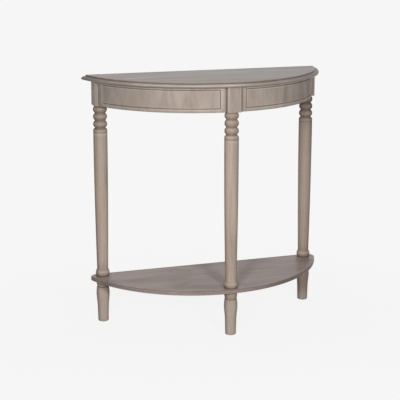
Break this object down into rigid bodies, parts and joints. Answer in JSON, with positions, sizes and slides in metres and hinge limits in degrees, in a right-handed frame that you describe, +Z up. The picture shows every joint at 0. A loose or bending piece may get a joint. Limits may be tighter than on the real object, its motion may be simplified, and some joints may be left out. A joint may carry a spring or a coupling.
{
  "type": "demilune console table",
  "caption": "Half-moon wooden console table with a moulded top, a bent grooved apron, turned beaded legs and a low half-moon shelf.",
  "frame": {"origin": "on the floor, under the middle of the top's bounding box", "axes": "+Z up, +Y towards the straight back edge that stands against a wall, +X to the right seen from the front"},
  "size_m": [0.713, 0.2869, 0.711],
  "materials": {
    "top_wood": "grey taupe stain with a satin lacquer",
    "apron_wood": "warm taupe stain with a darker glaze in the grooves",
    "block_wood": "warm taupe stain with worn arrises",
    "turned_wood": "warm taupe stain with a darker glaze in the necks",
    "shelf_wood": "grey taupe stain with a satin lacquer",
    "rail_wood": "thin taupe stain",
    "raw_wood": "bare softwood",
    "zinc_steel": "zinc plated"
  },
  "bodies": {
    "root": {"table_top": "top_wood", "apron_left": "apron_wood", "apron_right": "apron_wood", "block_left": "block_wood", "block_centre": "block_wood", "block_right": "block_wood", "leg_left": "turned_wood", "leg_centre": "turned_wood", "leg_right": "turned_wood", "foot_left": "turned_wood", "foot_centre": "turned_wood", "foot_right": "turned_wood", "shelf": "shelf_wood", "back_rail": "rail_wood", "brace": "raw_wood", "cleat_left": "raw_wood", "cleat_right": "raw_wood", "apron_dowels": "raw_wood", "rail_dowels": "raw_wood", "brace_dowels": "raw_wood", "top_screws": "zinc_steel", "leg_bolts": "zinc_steel", "foot_bolts": "zinc_steel", "block_inserts": "zinc_steel", "leg_inserts": "zinc_steel"}
  },
  "joints": []
}
